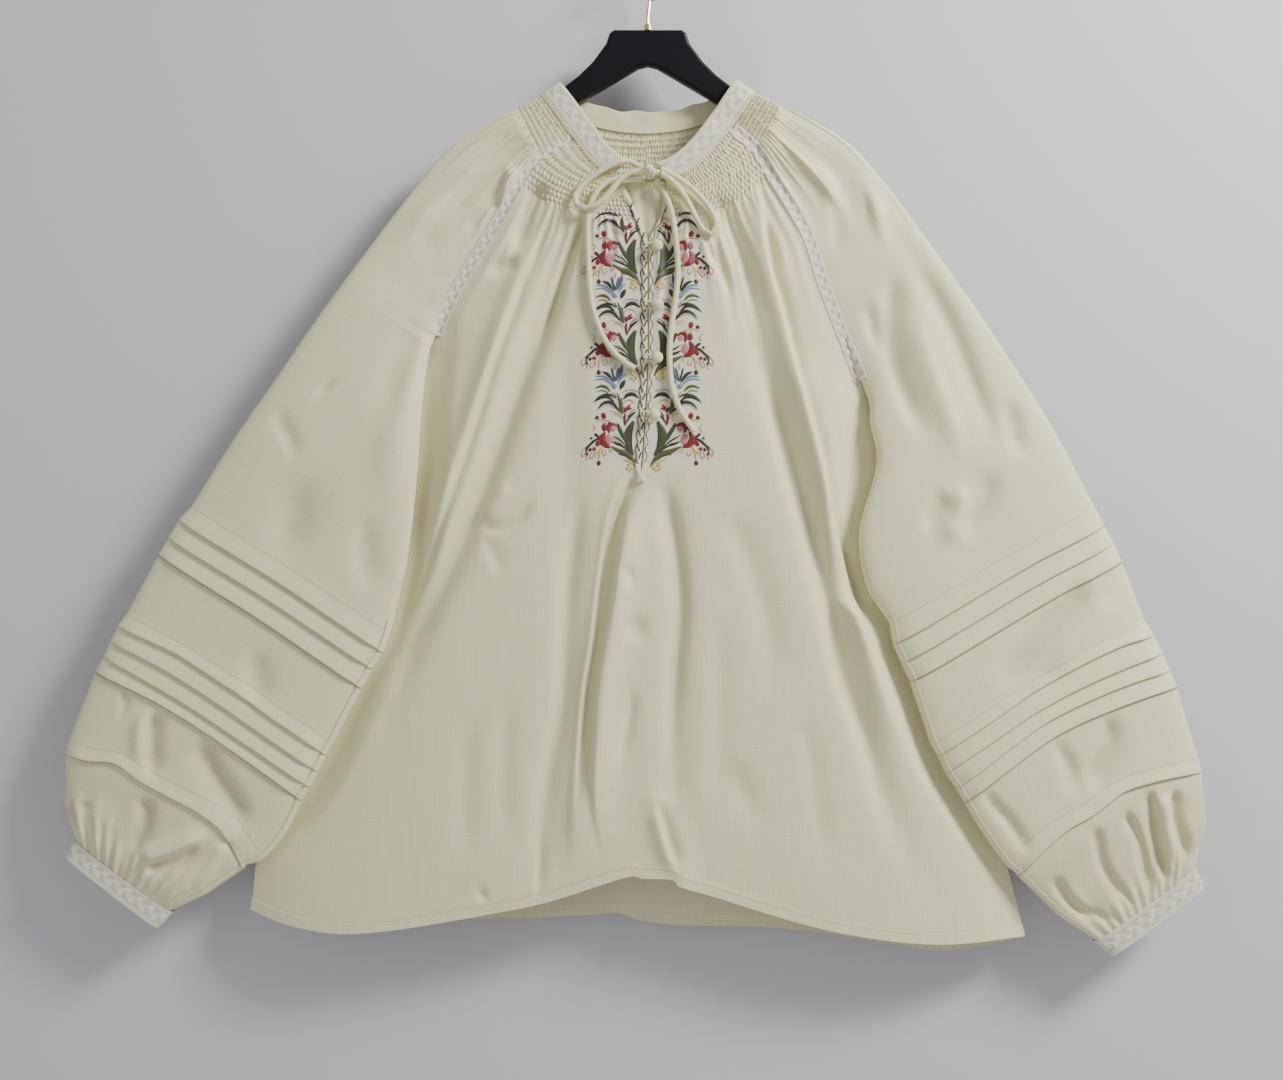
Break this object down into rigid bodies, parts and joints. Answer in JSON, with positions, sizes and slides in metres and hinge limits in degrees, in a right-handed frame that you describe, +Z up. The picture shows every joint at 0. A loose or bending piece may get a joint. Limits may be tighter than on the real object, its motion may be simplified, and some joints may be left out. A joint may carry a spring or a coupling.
{
  "type": "embroidered peasant blouse on a wooden hanger",
  "caption": "Long-sleeved smocked blouse with an embroidered, buttoned neck slit, hanging with its bishop sleeves out on a wooden hanger.",
  "frame": {"origin": "bearing point inside the top of the hanger's hook, where a rail or peg carries it", "axes": "+X to the right as seen from the front of the blouse, +Z up, and the front faces -Y"},
  "size_m": [0.9812, 0.049, 0.8603],
  "materials": {
    "cloth": "cream satin-faced cloth with a fine slub",
    "lace": "matt off-white cotton lace",
    "thread": "embroidery thread with a soft sheen",
    "wood": "satin black stained wood",
    "gold": "polished gold-coloured wire"
  },
  "bodies": {
    "root": {"front_left": "cloth", "front_right": "cloth", "front_lower": "cloth", "back_panel": "cloth", "sleeve_left_front_top": "cloth", "sleeve_left_rear_top": "cloth", "sleeve_left_front_upper": "cloth", "sleeve_left_rear_upper": "cloth", "sleeve_left_front_elbow": "cloth", "sleeve_left_rear_elbow": "cloth", "sleeve_left_front_lower": "cloth", "sleeve_left_rear_lower": "cloth", "sleeve_left_outer_fold": "cloth", "sleeve_left_inner_fold": "cloth", "sleeve_right_front_top": "cloth", "sleeve_right_rear_top": "cloth", "sleeve_right_front_upper": "cloth", "sleeve_right_rear_upper": "cloth", "sleeve_right_front_elbow": "cloth", "sleeve_right_rear_elbow": "cloth", "sleeve_right_front_lower": "cloth", "sleeve_right_rear_lower": "cloth", "sleeve_right_outer_fold": "cloth", "sleeve_right_inner_fold": "cloth", "cuff_left": "cloth", "cuff_right": "cloth", "cuff_lace_left": "lace", "cuff_lace_right": "lace", "raglan_lace_left": "lace", "raglan_lace_right": "lace", "slit_binding_left": "thread", "slit_binding_right": "thread", "collar_band": "cloth", "collar_lace": "lace", "button_1": "cloth", "button_2": "cloth", "button_3": "cloth", "button_4": "cloth", "button_loop_1": "cloth", "button_loop_2": "cloth", "button_loop_3": "cloth", "button_loop_4": "cloth", "tie_loop_left": "cloth", "tie_loop_right": "cloth", "tie_end_left": "cloth", "tie_end_right": "cloth", "tie_knot": "cloth", "hanger_body": "wood", "hanger_ferrule": "gold", "hanger_hook": "gold"}
  },
  "joints": []
}
